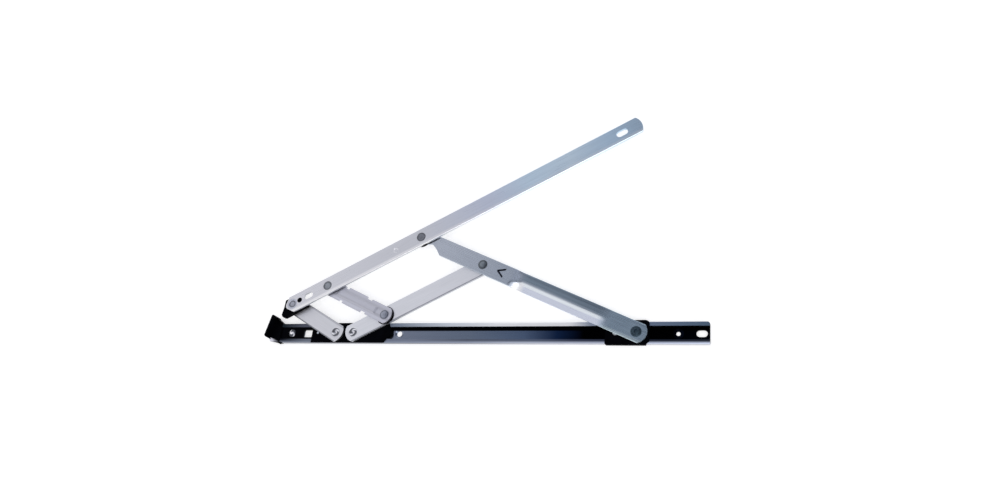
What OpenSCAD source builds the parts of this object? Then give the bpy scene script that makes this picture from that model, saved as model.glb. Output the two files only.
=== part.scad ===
// Friction stay for an outward opening window, drawn part open.
// The track lies along X with the back of its web at Z = 0, and the hinge axes
// stand along Z. The origin is on the rear base pivot's axis, at the web's back.

/* [Linkage] */
// Angle of the short arm to the track in the drawn position
open_angle = 27; // [15:0.5:32]
// Distance between the two base pivots
base_spacing = 18; // [17.5:0.1:20]
// Rear base pivot to the link's pivot on the short arm
arm_to_link = 34; // [30:0.5:38]
// Link's pivot to the main arm's pivot on the short arm
link_to_main = 100; // [90:1:110]
// Length of the notched link between its pivots, the same as the main arm's head
link_len = 68; // [64:0.5:72]
// Main arm from the short arm's pivot to the slider's pivot
main_tail = 149; // [145:0.5:155]
// Front pivot to the link's pivot along the vent bar
vent_front = 38.5; // [36:0.5:42]

/* [Track] */
// Width of the track over its flanges
track_w = 18.5; // [18:0.1:20]
// Height of the track over its lips
track_h = 4.4; // [4.2:0.1:5]
// Thickness of the track's folded sheet
track_t = 1.2; // [1:0.1:1.4]
// Width of each lip, its bend included
lip_w = 3.6; // [3:0.1:4]
// Outside radius of the track's bends
bend_r = 1.1; // [0.6:0.1:1.2]
// Rear base pivot to the cap end of the track
track_front = 91; // [90:0.5:96]
// Rear base pivot to the plain end of the track
track_rear = 312; // [308:1:330]
// Length of the track's corner cut at the cap end
end_cut = 16; // [15:0.5:18]
// Width of the track's corner cut at the cap end
end_cut_w = 6; // [5.6:0.1:6.5]
// Distance of the end slot's centre from the plain end
end_slot_back = 6.2; // [5.8:0.1:8]
// Length of the end slot
end_slot_len = 8.6; // [7:0.1:9]
// Width of the end slot
end_slot_w = 5.6; // [4.5:0.1:6]
// Distance of the rear screw hole from the plain end
rear_hole_back = 24.3; // [20:0.1:28]
// Diameter of the rear screw hole
rear_hole_d = 3.4; // [3:0.1:4]
// Rear base pivot to the middle screw hole
mid_hole_x = 44; // [43:0.5:50]
// Diameter of the middle screw hole
mid_hole_d = 5; // [4:0.1:5.4]
// Width of the countersinks round the screw holes
sink_d = 8.4; // [7:0.1:9]
// Rear base pivot to the centre of the square window
window_back = 49.4; // [48:0.2:52]
// Length of the square window along the track
window_len = 9.6; // [8:0.1:11]
// Width of the square window across the track
window_w = 7.4; // [6:0.1:8]

/* [Arms] */
// Width of the three arms
arm_w = 16.4; // [15:0.1:17]
// Thickness of the arms and the link
arm_t = 2; // [1.6:0.1:2.4]
// Arms beyond their base and link pivots
arm_over = 7.4; // [7:0.1:8]
// Radius of the arms' ends
arm_end_r = 10.5; // [9:0.5:16]
// Main arm beyond the slider's pivot
tail_over = 8.9; // [8:0.1:10]
// Radius of the main arm's tail end
tail_end_r = 9.8; // [8.6:0.2:14]
// Bevel along the arms' edges
edge_bevel = 0.25; // [0.1:0.05:0.4]
// Radius of the main arm's nose round the vent bar pivot
nose_r = 8.8; // [8.2:0.1:9.4]
// Start of the main arm's crank, from the short arm's pivot
crank_at = 31; // [28:0.5:36]
// Length of the crank
crank_len = 8; // [6:0.5:10]
// Length of the stiffening bend behind the crank
bend_len = 81; // [60:1:90]
// Length over which the bend runs out
bend_out = 6; // [4:0.5:10]
// Drop of the bend's lower edge
bend_drop_low = 1.3; // [0.6:0.1:1.3]
// Drop of the bend's upper edge
bend_drop_up = 0.7; // [0.2:0.1:1]
// Offset of the bend's ridge from the arm's middle
bend_offset = 2.2; // [0:0.1:3]
// Rise of the bend's ridge over the flat tail
bend_rise = 1.2; // [1.2:0.05:1.5]

/* [Link] */
// Width of the link's middle
link_w = 16; // [15:0.1:16.4]
// Width of the link's ends
link_end_w = 15.2; // [14:0.1:16]
// Link beyond its pivot on the short arm
link_over = 6.9; // [6.5:0.1:7.4]
// Width of the link's raised rib
rib_w = 7.5; // [5:0.1:8.5]
// Height of the link's raised rib
rib_h = 0.4; // [0.3:0.1:0.8]
// Depth of the link's relief notches
notch_depth = 1.5; // [0.8:0.1:2]

/* [Vent bar] */
// Width of the vent bar
vent_w = 16; // [15:0.1:17]
// Thickness of the vent bar
vent_t = 2.2; // [1.8:0.1:2.6]
// Room between the vent bar and the arms under it
vent_gap = 1.4; // [1.1:0.1:1.8]
// Vent bar from the link's pivot to its rounded end
vent_len = 322; // [300:1:330]
// Vent bar from the link's pivot to its pointed tip
vent_tip = 45.6; // [45:0.1:48]
// Length of the pointed part of the tip
tip_len = 6; // [4:0.1:7]
// Radius of the rounded end
vent_end_r = 13; // [10:0.5:18]
// Slot near the tip: centre from the link's pivot
slot_a_at = 20.8; // [20:0.1:22]
// Slot near the tip: length
slot_a_len = 9.4; // [8:0.1:10]
// Slot near the tip: width
slot_a_w = 5.6; // [4.5:0.1:6]
// Slot near the rounded end: centre from that end
slot_b_back = 19; // [16:0.5:24]
// Slot near the rounded end: length
slot_b_len = 10.8; // [9:0.1:12]
// Slot near the rounded end: width
slot_b_w = 6.2; // [5.8:0.1:7]
// Hole for the cap's peg, from the link's pivot
peg_at = 30.5; // [30:0.1:31]
// Diameter of the cap's peg
peg_d = 5; // [4:0.1:5.4]
// Dimple in the bar, from the link's pivot
dimple_at = 73; // [60:1:85]

/* [Mouldings] */
// Thickness of the mouldings over the track's lips
cover_t = 0.6; // [0.5:0.05:1]
// Base block behind the rear base pivot
block_rear = 36.8; // [36.6:0.1:38.5]
// Base block in front of the rear base pivot
block_front = 43.6; // [43:0.2:45]
// Cut corners of the base block
block_cut = 5.4; // [2:0.2:6]
// Length of the end cap's floor over the lips
cap_floor = 13; // [12:0.5:15]
// Width of the end cap's slanted corner
cap_slant = 2.4; // [2:0.1:3.4]
// Cap end of the track to the end cap's rivet
cap_rivet_from = 25; // [22:0.5:28]
// Height of the end cap's guide wall above the web's back
wall_h = 12; // [11:0.5:12.8]
// Thickness of the guide wall
wall_t = 1.8; // [1.2:0.1:2]
// Reach of the guide wall past the track's edge
wall_reach = 6.2; // [3:0.1:8]
// Slider from its pivot to its cranked side
shoe_front = 25.4; // [22:0.2:28]
// Slider from its pivot to its plain side
shoe_rear = 10.3; // [9:0.1:12]
// Side play of the slider in the track
slide_gap = 0.45; // [0.45:0.05:0.5]
// Thickness of the slider's side cheeks
cheek_t = 0.65; // [0.5:0.05:0.8]
// Height of the cheeks' lower edge over the web's back
cheek_low = 2.6; // [1:0.1:3]
// Friction screw from the slider's pivot
screw_back = 17; // [14:0.5:19]
// Diameter of the friction screw
screw_d = 4.8; // [4:0.1:5]

/* [Pivots] */
// Diameter of the rivets' shanks
pin_d = 5; // [4:0.1:5.6]
// Diameter of the rivets' heads
head_d = 8.4; // [7.5:0.1:8.8]
// Height of the heads that stand proud
head_h = 0.7; // [0.4:0.05:0.9]
// Depth of the sunk heads
sunk_h = 0.8; // [0.6:0.05:1]
// Running clearance of the pivots, on the radius
run_gap = 0.05; // [0.02:0.01:0.08]
// Clearance between the slider's top and the main arm
arm_clear = 0.05; // [0.03:0.01:0.1]
// Diameter of the head on the front vent pivot
front_head_d = 9.6; // [8.4:0.1:10]
// Clearance of the front vent pivot, on the radius
front_gap = 0.3; // [0.3:0.05:0.4]
// Thickness of the washers between the arms
washer_t = 0.4; // [0.3:0.05:0.6]
// Diameter of the spacer between the vent bar and the link
link_spacer_d = 12; // [10:0.5:14]
// Diameter of the spacer between the vent bar and the main arm
main_spacer_d = 17.4; // [16:0.2:18]
// Diameter of the washer under the link
link_washer_d = 17; // [16:0.5:18]

/* [Hidden] */
$fn = 64;

// Levels of the stack, from the web's back
low_z = track_h + cover_t;
low_top = low_z + arm_t;
high_z = low_top + washer_t;
high_top = high_z + arm_t;
vent_z = high_top + vent_gap;
vent_top = vent_z + vent_t;

// Pivots in the drawn position
short_len = arm_to_link + link_to_main;
tail_angle = asin(short_len * sin(open_angle) / main_tail);
along_short = [cos(open_angle), sin(open_angle)];
along_main = [cos(tail_angle), -sin(tail_angle)];
p_front = [-base_spacing, 0];
p_link = arm_to_link * along_short;
p_main = short_len * along_short;
p_slider = p_main + main_tail * along_main;
p_vent_main = p_main - link_len * along_main;
p_vent_link = p_vent_main - link_to_main * along_short;
p_vent_front = p_vent_link - vent_front * along_short;
front_line = p_vent_front - p_front;
front_len = norm(front_line);
front_angle = atan2(front_line[1], front_line[0]);

pin_r = pin_d / 2;
head_r = head_d / 2;
run_r = pin_r + run_gap;
inner_w = track_w - 2 * track_t;
mouth_w = track_w - 2 * lip_w;
cavity_top = track_h - track_t;
cap_rivet_back = track_front - cap_rivet_from;
pin_back = block_front - 6;
pin_r_small = 1;
lip_corner = 1.5;
window_r = 1;
past = 1;

steel = [0.72, 0.73, 0.76];
dark_steel = [0.42, 0.44, 0.48];
black = [0.03, 0.03, 0.035];

// Places a piece of a moving bar at its pivot and along its line
module at_bar(point, angle) {
    translate([point[0], point[1], 0]) rotate([0, 0, angle]) children();
}

module at_level(z) {
    translate([0, 0, z]) children();
}

// Flat outline with straight sides and a shallow arc at each end
module bar_outline(length, width, over_a, over_b, radius_a, radius_b) {
    intersection() {
        translate([-over_a, -width / 2]) square([over_a + length + over_b, width]);
        union() {
            translate([radius_a - over_a, 0]) circle(radius_a);
            translate([radius_a - over_a, -width]) square([length + over_b, 2 * width]);
        }
        union() {
            translate([length + over_b - radius_b, 0]) circle(radius_b);
            translate([-over_a - radius_b, -width]) square([length + over_a + over_b, 2 * width]);
        }
    }
}

// Strip along X with its two upper edges bevelled
module bevelled_strip(from, to, width, thick, bevel) {
    half = width / 2;
    translate([from, 0, 0]) rotate([90, 0, 90]) linear_extrude(to - from)
        polygon([[-half, 0], [half, 0], [half, thick - bevel], [half - bevel, thick],
            [bevel - half, thick], [-half, thick - bevel]]);
}

// Arm of even thickness: the outline and the bevelled strip that they share
module flat_arm(length, width, over_a, over_b) {
    intersection() {
        linear_extrude(arm_t) bar_outline(length, width, over_a, over_b, arm_end_r, arm_end_r);
        bevelled_strip(-over_a - past, length + over_b + past, width, arm_t, edge_bevel);
    }
}

module slot(length, width) {
    reach = (length - width) / 2;
    translate([-reach, 0]) circle(width / 2);
    translate([reach, 0]) circle(width / 2);
    translate([-reach, -width / 2]) square([2 * reach, width]);
}

// Hole for a rivet that turns in it, from below z to above top
module pivot_hole(radius, z, top) {
    translate([0, 0, z - past]) cylinder(r = radius, h = top - z + 2 * past);
}

// Room for a sunk head, which opens at the lower face z
module sunk_below(radius, z) {
    translate([0, 0, z - past]) cylinder(r = radius, h = past + sunk_h);
}

module ring(outer_d, inner_r, z, thick) {
    at_level(z) difference() {
        cylinder(d = outer_d, h = thick);
        translate([0, 0, -past]) cylinder(r = inner_r, h = thick + 2 * past);
    }
}

// Low dome on a flat disc, made by turning its half section
module low_head(radius, height) {
    rim = height * 0.45;
    rise = height - rim;
    dome_r = (radius * radius + rise * rise) / (2 * rise);
    intersection() {
        cylinder(r = radius, h = height);
        translate([0, 0, height - dome_r]) sphere(dome_r, $fn = 96);
    }
}

// The track's folded section, drawn across and up
module track_section() {
    half = track_w / 2;
    difference() {
        union() {
            translate([-half + bend_r, 0]) square([track_w - 2 * bend_r, track_h]);
            translate([-half, bend_r]) square([track_w, track_h - 2 * bend_r]);
            for (side = [-1, 1], level = [bend_r, track_h - bend_r])
                translate([side * (half - bend_r), level]) circle(bend_r);
        }
        translate([-inner_w / 2, track_t]) square([inner_w, cavity_top - track_t]);
        translate([-mouth_w / 2, track_t]) square([mouth_w, track_h]);
    }
}

// Plan of a slanted corner at the cap end: everything on its outer side
module end_corner(length, width) {
    half = track_w / 2;
    polygon([[-track_front - past, width - half], [-track_front, width - half],
        [length - track_front, -half], [length - track_front, -half - past],
        [-track_front - past, -half - past]]);
}

// Rectangle with round corners, about its centre
module soft_rectangle(length, width, radius) {
    square([length - 2 * radius, width], center = true);
    square([length, width - 2 * radius], center = true);
    for (x = [-1, 1], y = [-1, 1])
        translate([x * (length / 2 - radius), y * (width / 2 - radius)]) circle(radius);
}

module sunk_screw_hole(x, hole_d) {
    sink_depth = 0.5 * track_t;
    translate([x, 0, -past]) cylinder(d = hole_d, h = track_t + 2 * past);
    translate([x, 0, track_t - sink_depth])
        cylinder(d1 = hole_d, d2 = sink_d + (sink_d - hole_d) * past / sink_depth,
            h = sink_depth + past);
}

module track() {
    color(steel) difference() {
        translate([-track_front, 0, 0]) rotate([90, 0, 90])
            linear_extrude(track_front + track_rear) track_section();
        translate([0, 0, -past]) linear_extrude(track_h + 2 * past) {
            end_corner(end_cut, end_cut_w);
            polygon([[track_rear - lip_corner, track_w / 2], [track_rear, track_w / 2 - lip_corner],
                [track_rear + past, track_w / 2 - lip_corner], [track_rear + past, track_w / 2 + past],
                [track_rear - lip_corner, track_w / 2 + past]]);
        }
        translate([0, 0, -past]) linear_extrude(track_t + 2 * past) {
            translate([track_rear - end_slot_back, 0]) slot(end_slot_len, end_slot_w);
            translate([-window_back, 0]) soft_rectangle(window_len, window_w, window_r);
        }
        sunk_screw_hole(track_rear - rear_hole_back, rear_hole_d);
        sunk_screw_hole(mid_hole_x, mid_hole_d);
        for (x = [-cap_rivet_back, -base_spacing, 0])
            translate([x, 0, -past]) cylinder(r = pin_r, h = track_t + 2 * past);
        translate([-pin_back, 0, -past]) cylinder(r = pin_r_small, h = track_t + 2 * past);
    }
}

// Moulding that fills the channel and covers the lips, between two stations
module channel_fill(from, to) {
    half = track_w / 2;
    translate([from, 0, 0]) rotate([90, 0, 90]) linear_extrude(to - from)
        polygon([[-inner_w / 2, track_t], [inner_w / 2, track_t], [inner_w / 2, cavity_top],
            [mouth_w / 2, cavity_top], [mouth_w / 2, track_h], [half, track_h],
            [half, low_z], [-half, low_z], [-half, track_h], [-mouth_w / 2, track_h],
            [-mouth_w / 2, cavity_top], [-inner_w / 2, cavity_top]]);
}

// Wedge that fills the cut corner of the track and slopes down outwards
module corner_fairing(floor_end) {
    half = track_w / 2;
    inner = [[-track_front, end_cut_w - half], [end_cut - track_front, -half]];
    hull() {
        at_level(0.3) linear_extrude(0.01)
            polygon([inner[0], inner[1], [floor_end, -half], [-track_front, cap_slant - half]]);
        at_level(low_z - 0.01) linear_extrude(0.01)
            polygon([inner[0], inner[1], inner[0] - [0, 0.1]]);
    }
}

module track_end_cap() {
    half = track_w / 2;
    lean = 0.21;
    wall_low = -0.46 * half;
    wall_high = half + wall_reach;
    foot = 0.3 - track_front;
    beside = foot + lean * (half - wall_low);
    head = foot + lean * (wall_high - wall_low);
    floor_end = cap_floor - track_front;
    color(black) difference() {
        union() {
            // Floor over the lips, the fill under it and the tongue in the channel
            difference() {
                union() {
                    channel_fill(-track_front, floor_end);
                    translate([-track_front, -inner_w / 2, track_t])
                        cube([track_front - block_front - 0.1, inner_w, cavity_top - track_t]);
                }
                linear_extrude(track_h) end_corner(end_cut, end_cut_w);
                linear_extrude(wall_h) end_corner(end_cut, end_cut_w - 0.3);
            }
            // Guide wall, leaning along the path of the nose
            at_level(track_h) linear_extrude(wall_h - track_h)
                polygon([[foot, wall_low], [foot + wall_t, wall_low - 1.5],
                    [head + wall_t, wall_high], [head, wall_high]]);
            // Its lower end stands on the fairing
            at_level(0.3) linear_extrude(low_z - 0.3)
                polygon([[foot, wall_low], [foot + wall_t, wall_low - 1.5],
                    [foot + wall_t, end_cut_w - half - 0.8], [foot, end_cut_w - half - 0.2]]);
            // Its free end reaches down beside the track
            at_level(0.4) linear_extrude(low_z - 0.4)
                polygon([[beside, half], [head, wall_high], [head + wall_t, wall_high],
                    [head + wall_t + 1.4, wall_high - 1.7], [floor_end, half + 0.8],
                    [floor_end, half]]);
            corner_fairing(floor_end);
            // Small rib where the fairing meets the flange
            at_level(0.3) linear_extrude(low_z - 0.3)
                polygon([[floor_end - 1.4, 0.6 - half], [floor_end - 0.8, -half - 0.5],
                    [floor_end, -half - 0.5], [floor_end, 0.6 - half]]);
        }
        translate([-window_back, 0, 0]) linear_extrude(track_h)
            soft_rectangle(window_len, window_w, window_r);
        translate([-cap_rivet_back, 0, 0]) cylinder(r = pin_r, h = track_h);
    }
}

module end_cap_rivet() {
    color(steel) translate([-cap_rivet_back, 0, 0]) {
        cylinder(r = pin_r, h = cavity_top);
        at_level(cavity_top) low_head(pin_r + 1, track_h - cavity_top - 0.2);
    }
}

module base_block() {
    half = track_w / 2;
    color(black) difference() {
        intersection() {
            channel_fill(-block_front, block_rear);
            linear_extrude(low_z) polygon([[-block_front, -half], [-block_front, half],
                [block_rear - 0.45 * block_cut, half], [block_rear - 0.1 * block_cut, 0.45 * half],
                [block_rear, -0.12 * half], [block_rear - block_cut, -half]]);
        }
        for (x = [-base_spacing, 0])
            translate([x, 0, 0]) cylinder(r = pin_r, h = low_z + past);
        translate([-pin_back, 0, 0]) cylinder(r = pin_r_small, h = low_z + past);
    }
}

module block_pin() {
    color(steel) translate([-pin_back, 0, 0]) cylinder(r = pin_r_small, h = low_z);
}

// Tubular rivet of a base pivot, with its curled head in the arm's dish
dish_r = head_r + 0.35;
dish_h = 0.7;
module base_rivet(point) {
    translate([point[0], point[1], 0]) difference() {
        union() {
            cylinder(r = pin_r, h = low_top - dish_h);
            at_level(low_top - dish_h) cylinder(r1 = pin_r, r2 = head_r - 0.4, h = dish_h - 0.15);
            at_level(low_top - 0.15) cylinder(r = head_r - 0.4, h = 0.3);
        }
        at_level(low_top - 1.6) cylinder(r1 = pin_r - 1.3, r2 = pin_r - 0.5, h = 1.8);
    }
}

// Room for that head: a dish in the arm's upper face and the turning hole
module base_dish(z) {
    pivot_hole(run_r, z, z + arm_t);
    at_level(z + arm_t - dish_h) cylinder(r1 = run_r, r2 = dish_r, h = dish_h);
    at_level(z + arm_t) cylinder(r = dish_r, h = past);
}

module front_base_rivet() {
    color(dark_steel) base_rivet(p_front);
}

module rear_base_rivet() {
    color(dark_steel) base_rivet([0, 0]);
}

module front_arm() {
    color(steel) at_bar(p_front, front_angle) at_level(low_z) difference() {
        flat_arm(front_len, arm_w, arm_over, arm_over);
        base_dish(0);
        translate([front_len, 0, 0]) pivot_hole(pin_r + front_gap, 0, arm_t);
        translate([front_len, 0, 0]) sunk_below(head_r + front_gap, 0);
    }
}

module short_arm() {
    color(steel) at_bar([0, 0], open_angle) at_level(low_z) difference() {
        flat_arm(short_len, arm_w, arm_over, arm_over);
        base_dish(0);
        for (x = [arm_to_link, short_len]) translate([x, 0, 0]) {
            pivot_hole(pin_r, 0, arm_t);
            sunk_below(head_r, 0);
        }
    }
}

// Raised rib of the link, with sloping sides and ends
rib_from = 11;
rib_to_end = 9;
module rib_body(base_z) {
    slope = 1.4;
    length = link_len - rib_from - rib_to_end;
    hull() {
        translate([rib_from, -rib_w / 2, base_z - 0.01]) cube([length, rib_w, 0.01]);
        translate([rib_from + 2 * slope, slope - rib_w / 2, base_z])
            cube([length - 4 * slope, rib_w - 2 * slope, rib_h]);
    }
}

module link_outline() {
    bulge_from = 21;
    bulge_len = 22;
    difference() {
        union() {
            bar_outline(link_len, link_end_w, arm_over, link_over,
                link_end_w / 2 + 2.4, link_end_w / 2 + 1.4);
            translate([bulge_from, -link_w / 2]) square([bulge_len, link_w]);
        }
        for (side = [-1, 1]) {
            translate([bulge_from - 2, side * (link_end_w / 2 - notch_depth / 2 + past / 2)])
                square([4, notch_depth + past], center = true);
            translate([bulge_from + bulge_len + 3, side * (link_end_w / 2 - notch_depth / 2 + past / 2)])
                square([6, notch_depth + past], center = true);
        }
    }
}

module notched_link() {
    color(steel) at_bar(p_vent_link, -tail_angle) difference() {
        union() {
            at_level(high_z) linear_extrude(arm_t) link_outline();
            rib_body(high_top);
        }
        rib_body(high_z);
        pivot_hole(run_r, high_z, high_top);
        translate([0, 0, high_z]) sunk_below(head_r + run_gap, 0);
        translate([link_len, 0, 0]) pivot_hole(run_r, high_z, high_top);
    }
}

// Height of the bent sheet below its ridge, across the arm
function bend_fall(y) = let(d = y + bend_offset, soft = 0.5,
        low_tan = bend_drop_low / (arm_w / 2 - bend_offset),
        up_tan = bend_drop_up / (arm_w / 2 + bend_offset))
    (sqrt(d * d + soft * soft) - soft) * (d < 0 ? low_tan : up_tan);

// Upper line of the arm's section: edges, bevels and the soft ridge
function bend_across() = let(half = arm_w / 2)
    [-half, edge_bevel - half, -bend_offset - 3, -bend_offset - 1.2, -bend_offset - 0.5,
        -bend_offset, -bend_offset + 0.5, -bend_offset + 1.2, -bend_offset + 3,
        half - edge_bevel, half];

// Closed section at one station: how far it is lowered and how far it is bent
function bend_section(x, level, amount) = let(across = bend_across(), last = len(across) - 1)
    concat([for (i = [0:last]) [x, across[i], level + arm_t - amount * bend_fall(across[i])
            - (i == 0 || i == last ? edge_bevel : 0)]],
        [for (i = [last:-1:0]) [x, across[i], level - amount * bend_fall(across[i])]]);

// Skin over a row of closed sections with as many points each
module skin(sections) {
    rows = len(sections);
    count = len(sections[0]);
    points = [for (s = sections) for (p = s) p];
    sides = [for (r = [0:rows - 2]) for (i = [0:count - 1])
        let(a = r * count + i, b = r * count + (i + 1) % count)
        each [[a, b, b + count], [a, b + count, a + count]]];
    caps = [for (i = [0:count / 2 - 2]) let(m = count - 1 - i)
        each [[i, m, m - 1], [i, m - 1, i + 1]]];
    far = (rows - 1) * count;
    far_caps = [for (f = caps) [f[0] + far, f[2] + far, f[1] + far]];
    polyhedron(points, concat(sides, caps, far_caps));
}

// Smooth way from 0 to 1, level at both ends
function soft_step(t) = t * t * (3 - 2 * t);

crank_steps = 7;
bend_steps = 4;
module main_arm_middle() {
    bend_from = crank_at + crank_len;
    bend_to = bend_from + bend_len;
    skin(concat([bend_section(crank_at - 0.5, high_z, 0)],
        [for (i = [0:crank_steps]) let(part = i / crank_steps, amount = soft_step(part))
            bend_section(crank_at + part * crank_len, high_z + amount * (low_z + bend_rise - high_z), amount)],
        [for (i = [0:bend_steps]) let(part = i / bend_steps, amount = 1 - soft_step(part))
            bend_section(bend_to + part * bend_out, low_z + amount * bend_rise, amount)],
        [bend_section(bend_to + bend_out + 0.5, low_z, 0)]));
}

// Plan of the main arm's head: nose, relief notch and straight body
module head_outline() {
    half = arm_w / 2;
    notch_x = -link_len + 12.5;
    difference() {
        union() {
            translate([-link_len, 0]) circle(nose_r);
            translate([-link_len, -half]) square([link_len + crank_at, arm_w]);
        }
        polygon([[-link_len - nose_r, -half - past], [-link_len + 24.4, -half - past],
            [-link_len + 24.4, -half], [-link_len + 19.2, -4.4], [notch_x + 1, -1.6], [notch_x - 0.8, -1.1],
            [-link_len + 7.2, -3.3], [-link_len + 2, -7.3], [-link_len, -nose_r],
            [-link_len - nose_r, -nose_r]]);
    }
}

// Direction arrow, as a shallow sunk triangle
arrow_depth = 0.5;
module arrow_mark() {
    translate([19.5, 0.4, high_top - arrow_depth]) linear_extrude(arrow_depth + past)
        polygon([[-3.4, 0], [3, 3.4], [1.2, 0], [3, -3.4]]);
}

module main_arm() {
    nose_run = sqrt(max(0.04, nose_r * nose_r - arm_w * arm_w / 4));
    color(steel) at_bar(p_main, -tail_angle) difference() {
        union() {
            intersection() {
                at_level(high_z) linear_extrude(arm_t) head_outline();
                at_level(high_z) union() {
                    bevelled_strip(-link_len - nose_r - past, -link_len + nose_run,
                        2 * nose_r, arm_t, edge_bevel);
                    bevelled_strip(-link_len, crank_at + past, arm_w, arm_t, edge_bevel);
                }
            }
            main_arm_middle();
            at_level(low_z) intersection() {
                tail_from = crank_at + crank_len + bend_len + bend_out;
                linear_extrude(arm_t) bar_outline(main_tail, arm_w, 0, tail_over, arm_end_r, tail_end_r);
                bevelled_strip(tail_from, main_tail + tail_over + past, arm_w, arm_t, edge_bevel);
            }
        }
        translate([-link_len, 0, 0]) pivot_hole(run_r, high_z, high_top);
        translate([-link_len, 0, high_z]) sunk_below(head_r + run_gap, 0);
        pivot_hole(run_r, high_z, high_top);
        translate([main_tail, 0, 0]) pivot_hole(run_r, low_z, low_top);
        arrow_mark();
    }
}

// Slider: saddle over the lips with a foot inside the channel
shoe_top_gap = 0.1;
shoe_top = low_z - arm_clear;
module shoe_section() {
    out = track_w / 2 + slide_gap + cheek_t;
    cheek_in = track_w / 2 + slide_gap;
    neck = mouth_w / 2 - slide_gap;
    foot = inner_w / 2 - slide_gap;
    foot_low = track_t + shoe_top_gap;
    foot_top = cavity_top - shoe_top_gap;
    saddle = track_h + shoe_top_gap;
    polygon([[-out, cheek_low], [-cheek_in, cheek_low], [-cheek_in, saddle], [-neck, saddle],
        [-neck, foot_top], [-foot, foot_top], [-foot, foot_low], [foot, foot_low],
        [foot, foot_top], [neck, foot_top], [neck, saddle], [cheek_in, saddle],
        [cheek_in, cheek_low], [out, cheek_low], [out, shoe_top], [-out, shoe_top]]);
}

module shoe_outline() {
    out = track_w / 2 + slide_gap + cheek_t;
    cut = 3;
    round = 3;
    polygon([[-shoe_front + 1, -out], [-shoe_front, -out + 1], [-shoe_front, out - 1],
        [-shoe_front + 1, out], [shoe_rear - round, out], [shoe_rear - round * 0.3, out - round * 0.3],
        [shoe_rear, out - round], [shoe_rear, cut - out], [shoe_rear - cut, -out]]);
}

module slider_shoe() {
    color(black) at_bar(p_slider, 0) difference() {
        intersection() {
            translate([-shoe_front - past, 0, 0]) rotate([90, 0, 90])
                linear_extrude(shoe_front + shoe_rear + 2 * past) shoe_section();
            linear_extrude(low_z) shoe_outline();
        }
        cylinder(r = pin_r, h = low_z + past);
        cylinder(r = head_r, h = track_t + shoe_top_gap + sunk_h);
        translate([-screw_back, 0, 0]) cylinder(d = screw_d, h = low_z + past);
    }
}

pad_h = 1.2;
module slider_pad() {
    color(black) at_bar(p_slider, 0) translate([-screw_back, 0, track_t])
        cylinder(d = screw_d - 0.2, h = pad_h);
}

module slider_screw() {
    color(steel) at_bar(p_slider, 0) translate([-screw_back, 0, track_t + pad_h]) difference() {
        cylinder(d = screw_d, h = low_z - 0.2 - track_t - pad_h);
        translate([-screw_d, -0.5, low_z - 1.2 - track_t - pad_h]) cube([2 * screw_d, 1, 2]);
    }
}

// Rivet with a sunk lower head and a proud, dished upper head
module slider_rivet() {
    color(dark_steel) at_bar(p_slider, 0) difference() {
        union() {
            at_level(track_t + shoe_top_gap) cylinder(r = head_r, h = sunk_h);
            at_level(track_t + shoe_top_gap) cylinder(r = pin_r, h = low_top - track_t - shoe_top_gap);
            at_level(low_top) low_head(head_r + 0.3, head_h);
        }
        at_level(low_top - 0.9) cylinder(r = pin_r - 0.6, h = 2);
    }
}

// Plan of the vent bar: pointed tip, straight body and rounded end
module vent_outline() {
    half = vent_w / 2;
    intersection() {
        polygon([[-vent_tip, 0], [-vent_tip + 0.7, -0.13 * vent_w], [-vent_tip + tip_len, -half],
            [vent_len, -half], [vent_len, half], [-vent_tip + tip_len, half],
            [-vent_tip + 0.7, 0.13 * vent_w]]);
        union() {
            translate([vent_len - vent_end_r, 0]) circle(vent_end_r);
            translate([-vent_tip - past, -vent_w]) square([vent_tip + vent_len - vent_end_r + past, 2 * vent_w]);
        }
    }
}

vent_sink = 0.9;
ring_gap = 0.15;
dimple_r = 2.4;
module vent_bar() {
    color(steel) at_bar(p_vent_link, open_angle) at_level(vent_z) difference() {
        intersection() {
            linear_extrude(vent_t) vent_outline();
            bevelled_strip(-vent_tip - past, vent_len + past, vent_w, vent_t, edge_bevel);
        }
        translate([-slot_a_at, 0, -past]) linear_extrude(vent_t + 2 * past) slot(slot_a_len, slot_a_w);
        translate([vent_len - slot_b_back, 0, -past]) linear_extrude(vent_t + 2 * past)
            slot(slot_b_len, slot_b_w);
        translate([-peg_at, 0, -past]) cylinder(d = peg_d, h = vent_t + 2 * past);
        for (x = [-vent_front, 0, link_to_main]) translate([x, 0, 0]) {
            pivot_hole(pin_r, 0, vent_t);
            at_level(vent_t - vent_sink)
                cylinder(r = (x < 0 ? front_head_d / 2 : head_r) + ring_gap, h = vent_sink + past);
        }
        translate([dimple_at, 0, vent_t - 0.5]) cylinder(r1 = dimple_r - 0.9, r2 = dimple_r, h = 0.5 + 0.001);
    }
}

// Plan of the nose moulding: body, slanted guide edge and nose
cap_reach = 52.6;
cap_proud = 0.5;
module vent_cap_outline() {
    half = vent_w / 2;
    polygon([[2.7 - peg_at, -3.4], [5.9 - peg_at, -half], [7 - cap_reach, -half - cap_proud], [2.6 - cap_reach, -half - cap_proud],
        [0.8 - cap_reach, 0.9 - half], [-cap_reach, 2.6 - half], [0.1 - cap_reach, 4.4 - half],
        [-vent_tip - 2.6, 2.2], [0.6 - vent_tip, half], [1.8 - peg_at, half],
        [2.4 - peg_at, 3]]);
}

module vent_end_cap() {
    color(black) at_bar(p_vent_link, open_angle) difference() {
        union() {
            at_level(low_top) linear_extrude(vent_z - low_top) vent_cap_outline();
            translate([-peg_at, 0, vent_z]) cylinder(d = peg_d, h = vent_t - 0.3);
        }
        translate([-vent_front, 0, 0]) pivot_hole(pin_r, low_top, vent_z);
    }
}

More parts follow.
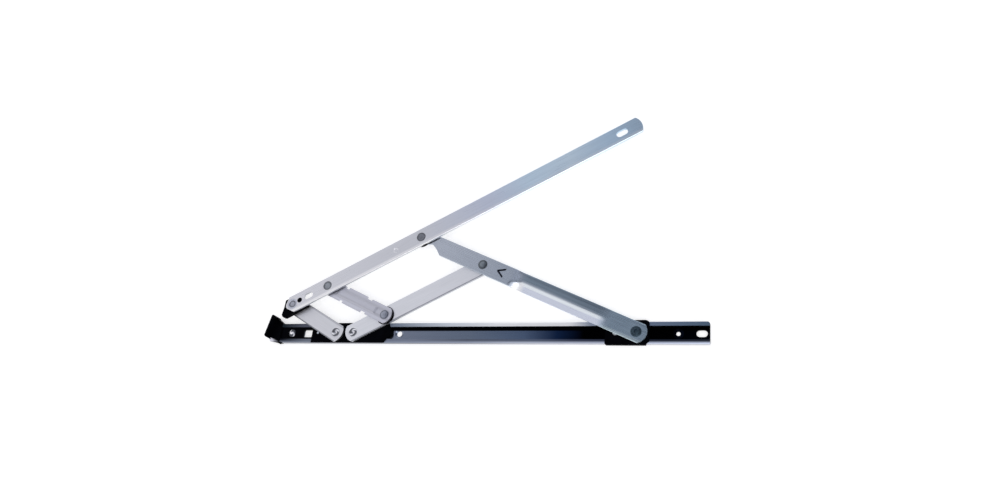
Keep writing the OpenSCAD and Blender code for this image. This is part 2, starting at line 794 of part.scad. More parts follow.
// Rivet head that fills its sink in the vent bar, with a shallow hollow
module vent_head(radius) {
    at_level(vent_top - vent_sink) difference() {
        cylinder(r = radius, h = vent_sink - 0.1);
        translate([0, 0, vent_sink - 0.3]) cylinder(r1 = radius - 1.5, r2 = radius - 0.8, h = 0.3);
    }
}

module front_vent_rivet() {
    color(steel) at_bar(p_vent_front, 0) {
        vent_head(front_head_d / 2);
        at_level(low_z + sunk_h) cylinder(r = pin_r, h = vent_top - vent_sink - low_z - sunk_h);
        at_level(low_z) cylinder(r = head_r, h = sunk_h);
    }
}

// Rivet of the vent bar into a bar of the upper arm layer
module vent_rivet(point) {
    at_bar(point, 0) {
        vent_head(head_r);
        at_level(high_z) cylinder(r = pin_r, h = vent_top - vent_sink - high_z);
        at_level(high_z) cylinder(r = head_r, h = sunk_h);
    }
}

module link_vent_rivet() {
    color(dark_steel) vent_rivet(p_vent_link);
}

module main_vent_rivet() {
    color(dark_steel) vent_rivet(p_vent_main);
}

// Rivet of the short arm through a bar of the upper layer
module arm_rivet(point) {
    at_bar(point, 0) {
        at_level(low_z) cylinder(r = head_r, h = sunk_h);
        at_level(low_z) cylinder(r = pin_r, h = high_top - low_z);
        at_level(high_top) low_head(head_r, head_h);
    }
}

module main_arm_rivet() {
    color(dark_steel) arm_rivet(p_main);
}

module link_arm_rivet() {
    color(dark_steel) arm_rivet(p_link);
}

module link_vent_spacer() {
    color(black) at_bar(p_vent_link, 0) ring(link_spacer_d, pin_r, high_top, vent_gap);
}

module main_vent_spacer() {
    color(black) at_bar(p_vent_main, 0) ring(main_spacer_d, pin_r, high_top, vent_gap);
}

module main_arm_washer() {
    color(black) at_bar(p_main, 0) ring(arm_w - 1, pin_r, low_top, washer_t);
}

module link_arm_washer() {
    color(black) at_bar(p_link, 0) ring(link_washer_d, pin_r, low_top, washer_t);
}

track();
track_end_cap();
end_cap_rivet();
base_block();
block_pin();
front_base_rivet();
rear_base_rivet();
front_arm();
short_arm();
notched_link();
main_arm();
slider_shoe();
slider_screw();
slider_pad();
slider_rivet();
vent_bar();
vent_end_cap();
front_vent_rivet();
link_vent_rivet();
main_vent_rivet();
main_arm_rivet();
link_arm_rivet();
link_vent_spacer();
main_vent_spacer();
main_arm_washer();
link_arm_washer();
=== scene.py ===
import math

import bpy
from mathutils import Matrix, Vector

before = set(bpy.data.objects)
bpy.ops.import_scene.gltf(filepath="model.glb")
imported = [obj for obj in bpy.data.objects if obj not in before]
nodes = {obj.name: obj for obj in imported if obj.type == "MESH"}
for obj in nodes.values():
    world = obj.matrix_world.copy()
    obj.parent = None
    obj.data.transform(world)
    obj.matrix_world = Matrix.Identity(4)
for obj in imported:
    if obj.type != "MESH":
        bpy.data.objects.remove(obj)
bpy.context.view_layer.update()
MM = 0.001

# Linkage in the drawn position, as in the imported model
OPEN_ANGLE = math.radians(27.0)
SHORT_LEN, MAIN_TAIL, LINK_LEN, LINK_GAP = 134.0, 149.0, 68.0, 100.0
LINK_AT, FRONT_REACH, FRONT_PIVOT_X = 34.0, 38.5, -18.0
TRACK_ENDS = (-91.0, 312.0)
CAP_RIVET_X, BLOCK_PIN_X, SCREW_BACK = -66.0, -37.6, 17.0
TAIL_ANGLE = math.asin(SHORT_LEN * math.sin(OPEN_ANGLE) / MAIN_TAIL)
ALONG_SHORT = Vector((math.cos(OPEN_ANGLE), math.sin(OPEN_ANGLE)))
ALONG_MAIN = Vector((math.cos(TAIL_ANGLE), -math.sin(TAIL_ANGLE)))
P_MAIN = SHORT_LEN * ALONG_SHORT
P_LINK = LINK_AT * ALONG_SHORT
P_SLIDER = P_MAIN + MAIN_TAIL * ALONG_MAIN
P_VENT_MAIN = P_MAIN - LINK_LEN * ALONG_MAIN
P_VENT_LINK = P_VENT_MAIN - LINK_GAP * ALONG_SHORT
P_VENT_FRONT = P_VENT_LINK - FRONT_REACH * ALONG_SHORT
P_FRONT = Vector((FRONT_PIVOT_X, 0.0))
FRONT_LINE = P_VENT_FRONT - P_FRONT
FRONT_ANGLE = math.atan2(FRONT_LINE.y, FRONT_LINE.x)

# Colours that several materials share
WHITE = (1.0, 1.0, 1.0)
DEEP_BLACK = (0.001, 0.001, 0.002)

# Sockets of a Mix node, which have no names of their own for each kind of value
MIX_FACTOR = 0
MIX_COLOURS, MIX_COLOUR_OUT = (6, 7), 2
MIX_VECTORS, MIX_VECTOR_OUT = (4, 5), 1


# Node helpers
def new_material(name):
    mat = bpy.data.materials.new(name)
    mat.use_nodes = True
    tree = mat.node_tree
    return mat, tree, tree.nodes["Principled BSDF"]


def add(tree, kind, **values):
    node = tree.nodes.new(kind)
    for key, value in values.items():
        setattr(node, key, value)
    return node


def feed(tree, socket, value):
    """Link another socket here, or set a constant number or colour."""
    if hasattr(value, "is_linked"):
        tree.links.new(value, socket)
    elif isinstance(value, tuple):
        socket.default_value = (*value, 1.0)
    else:
        socket.default_value = value


def local_coords(tree, origin, angle):
    """Object coordinates in millimetres, from a point and along a bar."""
    coords = add(tree, "ShaderNodeTexCoord")
    shift = add(tree, "ShaderNodeMapping", vector_type="TEXTURE")
    shift.inputs["Location"].default_value = (origin[0] * MM, origin[1] * MM, 0.0)
    shift.inputs["Rotation"].default_value = (0.0, 0.0, angle)
    shift.inputs["Scale"].default_value = (MM, MM, MM)
    tree.links.new(coords.outputs["Object"], shift.inputs["Vector"])
    return shift.outputs["Vector"]


def stretched(tree, vector, scale):
    node = add(tree, "ShaderNodeMapping", vector_type="POINT")
    node.inputs["Scale"].default_value = scale
    tree.links.new(vector, node.inputs["Vector"])
    return node.outputs["Vector"]


def noise(tree, vector, scale, detail=3.0, roughness=0.5):
    node = add(tree, "ShaderNodeTexNoise")
    node.inputs["Scale"].default_value = scale
    node.inputs["Detail"].default_value = detail
    node.inputs["Roughness"].default_value = roughness
    tree.links.new(vector, node.inputs["Vector"])
    return node.outputs["Fac"]


def spread(tree, value, low, high, out_low, out_high):
    node = add(tree, "ShaderNodeMapRange")
    keys = ("From Min", "From Max", "To Min", "To Max")
    for key, number in zip(keys, (low, high, out_low, out_high)):
        node.inputs[key].default_value = number
    tree.links.new(value, node.inputs["Value"])
    return node.outputs["Result"]


def soft(tree, value, low, high):
    """Smooth step from 0 at low to 1 at high, or down where high is the smaller."""
    node = add(tree, "ShaderNodeMapRange", interpolation_type="SMOOTHSTEP")
    falls = high < low
    node.inputs["From Min"].default_value = min(low, high)
    node.inputs["From Max"].default_value = max(low, high)
    node.inputs["To Min"].default_value = 1.0 if falls else 0.0
    node.inputs["To Max"].default_value = 0.0 if falls else 1.0
    tree.links.new(value, node.inputs["Value"])
    return node.outputs["Result"]


def product(tree, *factors):
    result = factors[0]
    for factor in factors[1:]:
        result = maths(tree, "MULTIPLY", result, factor)
    return result


def parts_of(tree, vector):
    node = add(tree, "ShaderNodeSeparateXYZ")
    tree.links.new(vector, node.inputs[0])
    return node.outputs["X"], node.outputs["Y"], node.outputs["Z"]


def normal_parts(tree):
    return parts_of(tree, add(tree, "ShaderNodeNewGeometry").outputs["Normal"])


def ramp(tree, value, stops):
    node = add(tree, "ShaderNodeValToRGB")
    band = node.color_ramp
    while len(band.elements) < len(stops):
        band.elements.new(0.5)
    for element, (place, colour) in zip(band.elements, stops):
        element.position = place
        element.color = (*colour, 1.0)
    tree.links.new(value, node.inputs["Fac"])
    return node.outputs["Color"]


def mix_colour(tree, factor, first, second, blend="MIX"):
    node = add(tree, "ShaderNodeMix", data_type="RGBA", blend_type=blend)
    for socket, value in zip((MIX_FACTOR, *MIX_COLOURS), (factor, first, second)):
        feed(tree, node.inputs[socket], value)
    return node.outputs[MIX_COLOUR_OUT]


def maths(tree, operation, first, second=0.0):
    node = add(tree, "ShaderNodeMath", operation=operation)
    for socket, value in enumerate((first, second)):
        feed(tree, node.inputs[socket], value)
    return node.outputs[0]


def bump(tree, shader, height, strength, distance, normal=None):
    node = add(tree, "ShaderNodeBump")
    node.inputs["Strength"].default_value = strength
    node.inputs["Distance"].default_value = distance
    tree.links.new(height, node.inputs["Height"])
    if normal is not None:
        tree.links.new(normal, node.inputs["Normal"])
    tree.links.new(node.outputs["Normal"], shader.inputs["Normal"])


def shaded(colour, amount):
    return tuple(min(1.0, amount * c) for c in colour)


# Brushed stainless strip with its grain along the bar
def bar_steel(name, origin, angle, tone_and_painted_light, rough=0.34, smooth=None):
    mat, tree, shader = new_material(name)
    here = local_coords(tree, origin, angle)
    grain_scale, streak_scale = (0.035, 2.6, 2.6), (0.008, 0.55, 0.55)
    grain = noise(tree, stretched(tree, here, grain_scale), 1.0, 4.0, 0.6)
    streak = noise(tree, stretched(tree, here, streak_scale), 1.0, 2.0)
    cloud = noise(tree, here, 0.02, 2.0)
    wear = ramp(tree, grain, ((0.25, (0.88, 0.88, 0.88)), (0.55, (0.97, 0.97, 0.97)), (0.8, WHITE)))
    worn = mix_colour(tree, spread(tree, streak, 0.35, 0.7, 0.0, 0.35), wear, WHITE)
    # The tone passed in carries painted shade and painted highlights besides the steel's colour
    own = tone_and_painted_light(tree, here)
    tree.links.new(mix_colour(tree, 1.0, own, worn, "MULTIPLY"), shader.inputs["Base Color"])
    shader.inputs["Metallic"].default_value = 1.0
    rougher = maths(tree, "ADD", spread(tree, grain, 0.2, 0.8, rough - 0.06, rough + 0.07),
                    spread(tree, cloud, 0.3, 0.7, -0.02, 0.03))
    tree.links.new(rougher, shader.inputs["Roughness"])
    bump(tree, shader, grain, 0.22, 0.00004, smooth(tree, here, angle) if smooth else None)
    return mat


# Share of a face that stands upright, such as an arm's side
def upright_share(tree):
    return soft(tree, maths(tree, "ABSOLUTE", normal_parts(tree)[2]), 0.75, 0.35)


# Tones of the flat arms, with painted shade along their edges and on their upright sides
def short_tint(tree, here):
    across = parts_of(tree, here)[1]
    # painted shade along the lower edge
    painted_edge = soft(tree, across, -6.7, -7.6)
    tone = mix_colour(tree, painted_edge, (0.84, 0.85, 0.89), (0.34, 0.35, 0.39))
    # painted shade on the upright sides
    return mix_colour(tree, upright_share(tree), tone, (0.62, 0.63, 0.67))


def front_tint(tree, here):
    across = parts_of(tree, here)[1]
    # painted shade along the lower edge
    tone = mix_colour(tree, soft(tree, across, -6.0, -6.9), (0.76, 0.765, 0.80), (0.56, 0.565, 0.60))
    # painted shade along the upper edge
    tone = mix_colour(tree, soft(tree, across, 6.7, 7.7), tone, (0.30, 0.31, 0.34))
    # painted shade on the upright sides
    return mix_colour(tree, upright_share(tree), tone, (0.6, 0.605, 0.64))


# Tone of the notched link: painted shade on the two flanks of its rib, a little lighter near its lower
# edge
def link_tint(tree, here):
    across = parts_of(tree, here)[1]
    half_width, plain = 8.0, (0.66, 0.665, 0.74)
    # Factors on the plain tone across the link: painted shade on the rib's flanks
    stops = ((-8.0, 0.95), (-6.0, 1.08), (-5.0, 1.06), (-3.4, 0.80), (-2.4, 0.78), (-1.2, 0.94),
             (0.6, 0.96), (1.8, 0.91), (2.6, 0.82), (3.6, 0.81), (4.8, 0.91), (6.0, 0.98), (8.0, 1.0))
    return ramp(tree, spread(tree, across, -half_width, half_width, 0.0, 1.0),
                [((t + half_width) / (2 * half_width), shaded(plain, f)) for t, f in stops])


# Tone of the vent bar, a painted reflection along it: neutral near the tip, bluer and then darker towards
# its end; near the tip a painted highlight on its lower edge and painted shade on its sides
def vent_tint(tree, here):
    along, across, _ = parts_of(tree, here)
    # painted reflection along the bar
    base = ramp(tree, spread(tree, along, -45.0, 322.0, 0.0, 1.0), (
        (0.0, (0.74, 0.74, 0.78)), (0.40, (0.74, 0.75, 0.79)), (0.59, (0.69, 0.74, 0.87)),
        (0.70, (0.70, 0.86, 0.99)), (0.81, (0.74, 0.89, 1.0)), (0.92, (0.56, 0.73, 0.89)),
        (0.99, (0.47, 0.61, 0.74))))
    near = soft(tree, along, 190.0, 60.0)
    # painted highlight along the lower edge near the tip
    painted_edge = product(tree, soft(tree, across, -4.6, -6.6), spread(tree, near, 0.0, 1.0, 0.35, 0.85))
    tone = mix_colour(tree, painted_edge, base, WHITE)
    # painted shade on the upright sides near the tip
    side = product(tree, upright_share(tree), near)
    return mix_colour(tree, side, tone, (0.56, 0.57, 0.61))


# Place across the main arm, moved so that the ridge runs in slantwise over the crank
def ridge_place(tree, along, across):
    slant_from, slant_to, shift = 33.0, 41.5, 3.0
    return maths(tree, "ADD", across, spread(tree, along, slant_from, slant_to, shift, 0.0))


# Tone of the main arm, much of it painted light: a painted reflection turning bluer towards the tail,
# painted shade on the upper side of the long bend, painted highlights on its lower side, its ridge, the
# crank and the tail's lower edge, a painted glint on the crank, and the dark strokes of the arrow mark
def main_tint(tree, here):
    along, across, _ = parts_of(tree, here)
    # painted reflection along the arm, bluer towards the tail
    head = ramp(tree, spread(tree, along, -70.0, 160.0, 0.0, 1.0), (
        (0.0, (0.59, 0.63, 0.70)), (0.30, (0.57, 0.62, 0.69)), (0.76, (0.53, 0.62, 0.72)),
        (0.86, (0.51, 0.65, 0.76)), (1.0, (0.51, 0.65, 0.76))))
    bend_in, bend_out = (33.0, 45.0), (127.0, 113.0)
    bent = product(tree, soft(tree, along, *bend_in), soft(tree, along, *bend_out))
    upper_shade, pale = (0.25, 0.315, 0.375), (0.76, 0.84, 0.95)
    # painted shade on the upper side of the long bend
    upper_tone = ramp(tree, spread(tree, across, 0.0, 8.0, 0.0, 1.0), (
        (0.19, upper_shade), (0.31, shaded(upper_shade, 1.16)), (0.44, shaded(upper_shade, 1.26)), (0.56, shaded(upper_shade, 1.2)),
        (0.69, shaded(upper_shade, 1.02)), (0.85, upper_shade), (0.94, shaded(upper_shade, 1.35))))
    tone = mix_colour(tree, product(tree, bent, soft(tree, across, -0.5, 3.0)), head, upper_tone)
    # painted highlight on the lower side of the long bend
    tone = mix_colour(tree, product(tree, bent, soft(tree, across, -1.2, -2.2)), tone, (0.72, 0.76, 0.86))
    led = ridge_place(tree, along, across)
    # painted highlight along the bend's ridge
    ridge = product(tree, soft(tree, along, 36.0, 41.0), soft(tree, along, 124.0, 113.0),
                    soft(tree, led, 0.9, -0.7), soft(tree, across, -3.8, -2.8))
    tone = mix_colour(tree, ridge, tone, (0.93, 0.98, 1.0))
    # painted highlight on the crank's rise and on its upper corner
    rise = product(tree, soft(tree, along, 29.6, 33.0), soft(tree, along, 40.0, 35.0),
                   soft(tree, across, 7.0, 4.0))
    tone = mix_colour(tree, rise, tone, pale)
    corner_highlight = product(tree, soft(tree, along, 29.6, 32.0), soft(tree, along, 36.0, 33.0),
                     soft(tree, across, 2.5, 6.0))
    tone = mix_colour(tree, corner_highlight, tone, pale)
    # painted glint on the crank
    shine = product(tree, soft(tree, along, 32.0, 36.5), soft(tree, along, 46.0, 41.0),
                    soft(tree, led, 0.5, -2.6))
    tone = mix_colour(tree, shine, tone, WHITE)
    # painted highlight on the tail's lower edge
    tail_edge_highlight = product(tree, soft(tree, along, 119.0, 124.0), soft(tree, across, -5.4, -6.3))
    tone = mix_colour(tree, tail_edge_highlight, tone, (0.80, 0.95, 1.0))
    arrow_middle, arrow_tip, arrow_end, arrow_spread = 0.4, 15.6, 23.0, 4.0
    from_middle = maths(tree, "ABSOLUTE", maths(tree, "SUBTRACT", across, arrow_middle))
    off_stroke = maths(tree, "SUBTRACT", from_middle,
                       spread(tree, along, arrow_tip, arrow_end, 0.0, arrow_spread))
    strokes = soft(tree, maths(tree, "ABSOLUTE", off_stroke), 1.15, 0.6)
    arrow = product(tree, soft(tree, along, 15.1, 15.5), soft(tree, along, arrow_end, 22.4), strokes)
    return mix_colour(tree, arrow, tone, (0.012, 0.016, 0.028))


# Slopes of the long bend's two sides, and the height of a normal above which a face is a top
LOWER_SLOPE, UPPER_SLOPE = -0.2167, 0.0673
TOP_FACE = (0.90, 0.93)


# Even normals over the crank and the long bend, whose surface is built from flat strips
def crank_normal(tree, here, angle):
    along, across, _ = parts_of(tree, here)
    crank_in, crank_out = (29.4, 32.2), (44.0, 36.5)
    bend_in, bend_out = (31.0, 39.0), (126.0, 116.0)
    steep = product(tree, soft(tree, along, *crank_in), soft(tree, along, *crank_out))
    slanted = maths(tree, "ADD", across, spread(tree, along, 29.0, 38.0, 3.6, -0.4))
    fall = spread(tree, soft(tree, slanted, 1.4, -4.6), 0.0, 1.0, 0.05, 0.30)
    tilt_along = product(tree, steep, fall)
    share = product(tree, soft(tree, along, *bend_in), soft(tree, along, *bend_out))
    over_ridge = soft(tree, ridge_place(tree, along, across), -1.3, 0.7)
    side = spread(tree, over_ridge, 0.0, 1.0, LOWER_SLOPE, UPPER_SLOPE)
    tilt_across = product(tree, share, side)
    tilted = add(tree, "ShaderNodeCombineXYZ")
    tilted.inputs["Z"].default_value = 1.0
    tree.links.new(tilt_along, tilted.inputs["X"])
    tree.links.new(tilt_across, tilted.inputs["Y"])
    turned = add(tree, "ShaderNodeVectorRotate", rotation_type="Z_AXIS")
    turned.inputs["Angle"].default_value = angle
    tree.links.new(tilted.outputs[0], turned.inputs["Vector"])
    in_world = add(tree, "ShaderNodeVectorTransform", vector_type="NORMAL",
                   convert_from="OBJECT", convert_to="WORLD")
    tree.links.new(turned.outputs[0], in_world.inputs[0])
    unit = add(tree, "ShaderNodeVectorMath", operation="NORMALIZE")
    tree.links.new(in_world.outputs[0], unit.inputs[0])
    own = add(tree, "ShaderNodeNewGeometry").outputs["Normal"]
    top = product(tree, soft(tree, parts_of(tree, own)[2], *TOP_FACE), soft(tree, along, 28.6, 29.0),
                  soft(tree, along, 128.0, 127.5))
    choice = add(tree, "ShaderNodeMix", data_type="VECTOR")
    for socket, value in zip((MIX_FACTOR, *MIX_VECTORS), (top, own, unit.outputs[0])):
        feed(tree, choice.inputs[socket], value)
    return choice.outputs[MIX_VECTOR_OUT]


# Rolled strip of the track, toned along its length by painted reflection: dull lips, mostly lighter, and a
# darker web, which fades towards the plain end; painted shade on the web under the upper lip
def track_steel():
    mat, tree, shader = new_material("track_steel")
    here = local_coords(tree, (0.0, 0.0), 0.0)
    along, across, height = parts_of(tree, here)
    lines = noise(tree, stretched(tree, here, (0.01, 1.8, 1.8)), 1.0, 3.0)
    cloud = noise(tree, stretched(tree, here, (0.012, 0.06, 0.06)), 1.0, 2.0)
    place = spread(tree, along, *TRACK_ENDS, 0.0, 1.0)
    # painted reflection along the web, dark towards the plain end
    web = ramp(tree, place, (
        (0.0, (0.06, 0.07, 0.09)), (0.30, (0.23, 0.26, 0.33)), (0.50, (0.21, 0.26, 0.34)),
        (0.625, (0.165, 0.235, 0.36)), (0.695, (0.02, 0.05, 0.14)), (0.75, DEEP_BLACK),
        (0.93, (0.001, 0.001, 0.003)), (1.0, (0.004, 0.009, 0.022))))
    # painted shade on the web under the upper lip
    shade = product(tree, soft(tree, across, 2.1, 3.1), soft(tree, height, 2.6, 2.0))
    web = mix_colour(tree, shade, web, DEEP_BLACK)
    # painted reflection along the upper lip, white in its middle stretch
    top_lip = ramp(tree, place, (
        (0.04, (0.02, 0.03, 0.04)), (0.09, (0.11, 0.12, 0.16)), (0.34, (0.27, 0.32, 0.40)),
        (0.46, (0.72, 0.77, 0.83)), (0.57, (0.98, 0.99, 1.0)), (0.72, WHITE),
        (0.765, (0.38, 0.43, 0.52)), (0.84, (0.21, 0.26, 0.37)), (1.0, (0.11, 0.17, 0.25))))
    # painted reflection along the lower lip's inner and outer faces
    low_inner = ramp(tree, place, (
        (0.04, (0.01, 0.012, 0.02)), (0.06, (0.05, 0.06, 0.08)), (0.10, (0.17, 0.19, 0.24)),
        (0.36, (0.24, 0.27, 0.35)), (0.50, (0.13, 0.15, 0.20)), (0.65, (0.12, 0.15, 0.22)),
        (0.73, (0.05, 0.06, 0.10)), (0.90, (0.015, 0.02, 0.035)), (1.0, (0.025, 0.03, 0.045))))
    low_outer = ramp(tree, place, (
        (0.04, (0.20, 0.22, 0.27)), (0.10, (0.27, 0.30, 0.36)), (0.36, (0.33, 0.37, 0.47)),
        (0.50, (0.34, 0.38, 0.48)), (0.60, (0.46, 0.50, 0.60)), (0.80, (0.46, 0.50, 0.62)),
        (1.0, (0.66, 0.72, 0.88))))
    low_lip = mix_colour(tree, soft(tree, across, -6.6, -8.7), low_inner, low_outer)
    lips = mix_colour(tree, soft(tree, across, -1.0, 1.0), low_lip, top_lip)
    raised = soft(tree, height, 2.9, 3.3)
    base = mix_colour(tree, raised, web, lips)
    outside = soft(tree, maths(tree, "ABSOLUTE", across), 8.6, 8.9)
    # painted reflection along the upright outer flanks
    flank = ramp(tree, place, (
        (0.0, (0.50, 0.51, 0.55)), (0.10, (0.38, 0.39, 0.42)), (0.35, (0.28, 0.29, 0.32)),
        (0.45, (0.31, 0.32, 0.35)), (0.60, (0.46, 0.47, 0.51)), (0.72, (0.62, 0.63, 0.68))))
    base = mix_colour(tree, product(tree, upright_share(tree), outside), base, flank)
    wear = ramp(tree, lines, ((0.3, (0.86, 0.86, 0.87)), (0.7, WHITE)))
    tree.links.new(mix_colour(tree, 1.0, base, wear, "MULTIPLY"), shader.inputs["Base Color"])
    shader.inputs["Metallic"].default_value = 1.0
    web_rough = spread(tree, cloud, 0.3, 0.7, 0.16, 0.24)
    rough = maths(tree, "ADD", web_rough, maths(tree, "MULTIPLY", raised, 0.3))
    tree.links.new(rough, shader.inputs["Roughness"])
    bump(tree, shader, lines, 0.12, 0.00003)
    return mat


# Radius in millimetres that a head's painted shade and highlight are spread over
RADIAL_SHADE_REACH = 5.0


# Pressed rivet: fine turned rings as bumps, painted shade and highlight in rings on some, and on some a
# painted S-shaped glint with painted shade beside it
def rivet_steel(name, centre, tone, rough=0.36, s_glint=None, turned=None):
    mat, tree, shader = new_material(name)
    here = local_coords(tree, centre, 0.0)
    across_x, across_y, _ = parts_of(tree, here)
    square = maths(tree, "ADD", maths(tree, "MULTIPLY", across_x, across_x),
                   maths(tree, "MULTIPLY", across_y, across_y))
    radius = maths(tree, "SQRT", square)
    ring_rate, s_glint_twist = 9.0, 0.55
    rings = maths(tree, "SINE", maths(tree, "MULTIPLY", radius, ring_rate))
    spots = noise(tree, here, 0.9, 3.0)
    base = ramp(tree, spots, ((0.3, shaded(tone, 0.7)), (0.6, tone)))
    # painted shade and highlight in rings by radius, such as a dark rim ring
    if turned is not None:
        zones = [(r / RADIAL_SHADE_REACH, (f, f, f)) for r, f in turned]
        zone = ramp(tree, spread(tree, radius, 0.0, RADIAL_SHADE_REACH, 0.0, 1.0), zones)
        base = mix_colour(tree, 1.0, base, zone, "MULTIPLY")
    if s_glint is not None:
        # painted S-shaped glint, with painted shade beside it
        turn = maths(tree, "ARCTAN2", across_y, across_x)
        bent = maths(tree, "ADD", maths(tree, "ADD", turn, s_glint),
                     maths(tree, "MULTIPLY", radius, s_glint_twist))
        off_line = maths(tree, "MULTIPLY", maths(tree, "ABSOLUTE", maths(tree, "SINE", bent)), radius)
        glint_line = product(tree, soft(tree, off_line, 1.25, 0.6), soft(tree, radius, 4.1, 3.2))
        glint_shade = product(tree, soft(tree, off_line, 0.9, 1.8), soft(tree, radius, 4.2, 3.4))
        base = mix_colour(tree, glint_shade, base, shaded(tone, 0.22))
        base = mix_colour(tree, glint_line, base, (0.98, 0.98, 1.0))
    tree.links.new(base, shader.inputs["Base Color"])
    shader.inputs["Metallic"].default_value = 1.0
    tree.links.new(spread(tree, spots, 0.3, 0.7, rough - 0.06, rough + 0.08), shader.inputs["Roughness"])
    height = maths(tree, "ADD", maths(tree, "MULTIPLY", rings, 0.35), spots)
    bump(tree, shader, height, 0.25, 0.00006)
    return mat


# Moulded black nylon, nearly black from above; a painted highlight on the end cap's sloping corner
def black_plastic(name, tone=(0.0006, 0.0007, 0.0014), rough=0.34, corner_highlight=False):
    mat, tree, shader = new_material(name)
    here = local_coords(tree, (0.0, 0.0), 0.0)
    fine = noise(tree, here, 3.2, 2.0)
    wide = noise(tree, here, 0.12, 2.0)
    base = mix_colour(tree, spread(tree, wide, 0.35, 0.7, 0.0, 1.0), tone, shaded(tone, 1.9))
    if corner_highlight:
        _, normal_y, normal_z = normal_parts(tree)
        # painted highlight on the end cap's sloping faces, fading along the cap
        slope = product(tree, soft(tree, normal_y, -0.3, -0.5), soft(tree, normal_z, 0.2, 0.35),
                        soft(tree, normal_z, 0.85, 0.75))
        lit = ramp(tree, spread(tree, parts_of(tree, here)[0], -91.0, -78.0, 0.0, 1.0), (
            (0.1, (0.72, 0.72, 0.80)), (0.27, (0.66, 0.66, 0.74)), (0.54, (0.25, 0.25, 0.28)),
            (0.85, (0.035, 0.037, 0.05))))
        base = mix_colour(tree, slope, base, lit)
    tree.links.new(base, shader.inputs["Base Color"])
    tree.links.new(spread(tree, wide, 0.3, 0.7, rough - 0.05, rough + 0.08), shader.inputs["Roughness"])
    shader.inputs["Specular IOR Level"].default_value = 0.012
    bump(tree, shader, fine, 0.18, 0.00005)
    return mat


def dress(name, mat):
    node = nodes[name]
    node.data.materials.clear()
    node.data.materials.append(mat)


dress("vent_bar", bar_steel("vent_steel", P_VENT_LINK, OPEN_ANGLE, vent_tint, 0.30))
dress("short_arm", bar_steel("short_arm_steel", (0.0, 0.0), OPEN_ANGLE, short_tint, 0.44))
dress("front_arm", bar_steel("front_arm_steel", P_FRONT, FRONT_ANGLE, front_tint, 0.42))
dress("notched_link", bar_steel("link_steel", P_VENT_LINK, -TAIL_ANGLE, link_tint, 0.40))
dress("main_arm", bar_steel("main_arm_steel", P_MAIN, -TAIL_ANGLE, main_tint, 0.28, crank_normal))
dress("track", track_steel())

# Centre of each rivet, its tone, its roughness and the turn of its painted S-shaped glint, if it has one
RIVETS = {
    "end_cap_rivet": ((CAP_RIVET_X, 0.0), (0.34, 0.36, 0.42), 0.3, 2.2),
    "block_pin": ((BLOCK_PIN_X, 0.0), (0.6, 0.65, 0.72), 0.36, None),
    "front_base_rivet": (P_FRONT, (0.62, 0.64, 0.7), 0.3, 0.9),
    "rear_base_rivet": ((0.0, 0.0), (0.62, 0.64, 0.7), 0.3, 0.5),
    "slider_screw": (P_SLIDER - Vector((SCREW_BACK, 0.0)), (0.6, 0.6, 0.62), 0.36, None),
    "slider_rivet": (P_SLIDER, (0.10, 0.15, 0.19), 0.3, None),
    "front_vent_rivet": (P_VENT_FRONT, (0.52, 0.54, 0.62), 0.36, None),
    "link_vent_rivet": (P_VENT_LINK, (0.27, 0.29, 0.32), 0.36, None),
    "main_vent_rivet": (P_VENT_MAIN, (0.21, 0.22, 0.25), 0.36, None),
    "main_arm_rivet": (P_MAIN, (0.22, 0.25, 0.28), 0.32, None),
    "link_arm_rivet": (P_LINK, (0.31, 0.33, 0.39), 0.32, None),
}
# Painted shade and highlight of each head by its radius in millimetres: the dish, its dark rim and the
# edge outside it
RADIAL_SHADE = {
    "front_vent_rivet": ((0.0, 0.85), (2.0, 0.8), (2.8, 0.22), (3.2, 0.45), (3.7, 1.15), (4.7, 1.3)),
    "link_vent_rivet": ((0.0, 1.35), (2.2, 1.2), (3.2, 0.75), (4.0, 0.75)),
    "main_vent_rivet": ((0.0, 1.05), (2.6, 1.1), (3.4, 0.85), (4.0, 0.85)),
    "main_arm_rivet": ((0.0, 1.1), (1.8, 1.3), (2.8, 0.7), (4.2, 0.45)),
    "link_arm_rivet": ((0.0, 1.1), (2.6, 1.25), (3.4, 0.7), (4.2, 0.7)),
    "slider_rivet": ((0.0, 1.0), (2.2, 0.9), (3.2, 0.5), (4.4, 0.8)),
}
for rivet, (centre, tone, rough, s_glint) in RIVETS.items():
    dress(rivet, rivet_steel(rivet + "_steel", centre, tone, rough, s_glint, RADIAL_SHADE.get(rivet)))

moulded = black_plastic("black_moulding")
nylon = black_plastic("black_nylon", (0.0015, 0.0015, 0.002), 0.5)
dress("track_end_cap", black_plastic("black_end_cap", corner_highlight=True))
for name in ("base_block", "slider_shoe", "vent_end_cap"):
    dress(name, moulded)
for name in ("slider_pad", "link_vent_spacer", "main_vent_spacer", "main_arm_washer", "link_arm_washer"):
    dress(name, nylon)


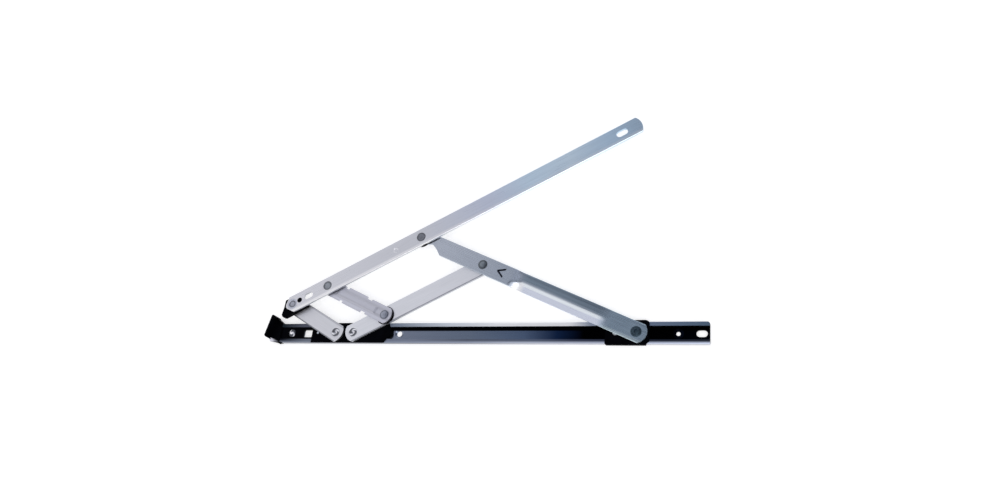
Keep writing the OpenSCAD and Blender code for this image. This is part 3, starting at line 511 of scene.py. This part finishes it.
# Floor under the track, which keeps the object's shadow
def make_floor():
    half_size, below_part, glow_strength = 6.0, 0.0003, 0.55
    corners = [(x * half_size, y * half_size, 0) for x, y in ((-1, -1), (1, -1), (1, 1), (-1, 1))]
    mesh = bpy.data.meshes.new("floor")
    mesh.from_pydata(corners, [], [(0, 1, 2, 3)])
    floor = bpy.data.objects.new("floor", mesh)
    floor.location = (0.1, 0.05, -below_part)
    bpy.context.scene.collection.objects.link(floor)
    mat, tree, shader = new_material("pale_floor")
    shader.inputs["Base Color"].default_value = (0.62, 0.62, 0.62, 1.0)
    shader.inputs["Roughness"].default_value = 1.0
    shader.inputs["Specular IOR Level"].default_value = 0.0
    glow = add(tree, "ShaderNodeEmission")
    glow.inputs["Color"].default_value = (*WHITE, 1.0)
    seen = add(tree, "ShaderNodeLightPath")
    lit = maths(tree, "MAXIMUM", seen.outputs["Is Camera Ray"],
                maths(tree, "MAXIMUM", seen.outputs["Is Glossy Ray"], seen.outputs["Is Transmission Ray"]))
    tree.links.new(maths(tree, "MULTIPLY", lit, glow_strength), glow.inputs["Strength"])
    both = add(tree, "ShaderNodeAddShader")
    tree.links.new(shader.outputs[0], both.inputs[0])
    tree.links.new(glow.outputs[0], both.inputs[1])
    tree.links.new(both.outputs[0], tree.nodes["Material Output"].inputs["Surface"])
    mesh.materials.append(mat)


make_floor()


# Soft studio: a pale world, darker overhead
def make_world():
    world = bpy.data.worlds.new("studio")
    bpy.context.scene.world = world
    world.use_nodes = True
    tree = world.node_tree
    back = tree.nodes["Background"]
    darkest, strength = Vector((-0.04, 0.25, 0.965)), 0.95
    coords = add(tree, "ShaderNodeTexCoord")
    towards = add(tree, "ShaderNodeVectorMath", operation="DOT_PRODUCT")
    tree.links.new(coords.outputs["Generated"], towards.inputs[0])
    towards.inputs[1].default_value = darkest.normalized()
    shade = ramp(tree, spread(tree, towards.outputs["Value"], 0.7, 1.0, 0.0, 1.0), (
        (0.0, (0.98, 0.98, 1.0)), (0.50, (0.93, 0.93, 0.97)), (0.69, (0.72, 0.73, 0.79)),
        (0.84, (0.42, 0.44, 0.52)), (0.95, (0.06, 0.07, 0.10)), (1.0, (0.02, 0.022, 0.035))))
    tree.links.new(shade, back.inputs["Color"])
    back.inputs["Strength"].default_value = strength


make_world()


def lamp(name, place, target, size, power):
    data = bpy.data.lights.new(name, "AREA")
    data.shape = "SQUARE"
    data.size = size
    data.energy = power
    lamp_object = bpy.data.objects.new(name, data)
    lamp_object.location = place
    aim = Vector(target) - Vector(place)
    lamp_object.rotation_euler = aim.to_track_quat("-Z", "Y").to_euler()
    bpy.context.scene.collection.objects.link(lamp_object)


CENTRE = (0.12, 0.08, 0.0)
CRANK = (0.152, 0.046, 0.008)
lamp("key", (0.75, -0.85, 0.75), CENTRE, size=0.7, power=3.0)
lamp("crank_glint", (0.20, -0.11, 1.2), CRANK, size=0.26, power=0.5)


# Camera at the photograph's place, from the fit of its pivots
def make_camera():
    azimuth, elevation, roll = (math.radians(a) for a in (21.78, 22.56, 6.40))
    distance, aim = 0.71709, Vector((0.12242, 0.08151, 0.0))
    focal_px, width_px, sensor = 800.0, 984.0, 36.0
    away = Vector((math.sin(azimuth) * math.cos(elevation), -math.sin(elevation),
                   math.cos(azimuth) * math.cos(elevation)))
    right = (-away).cross(Vector((0.0, 1.0, 0.0))).normalized()
    up = right.cross(-away)
    right_rolled = math.cos(roll) * right + math.sin(roll) * up
    up_rolled = -math.sin(roll) * right + math.cos(roll) * up
    data = bpy.data.cameras.new("camera")
    data.sensor_fit = "HORIZONTAL"
    data.sensor_width = sensor
    data.lens = sensor * focal_px / width_px
    data.clip_start = 0.01
    camera = bpy.data.objects.new("camera", data)
    turn = Matrix((right_rolled, up_rolled, away)).transposed()
    camera.matrix_world = Matrix.Translation(aim + distance * away) @ turn.to_4x4()
    bpy.context.scene.collection.objects.link(camera)
    bpy.context.scene.camera = camera


make_camera()
bpy.context.scene.view_settings.view_transform = "Standard"
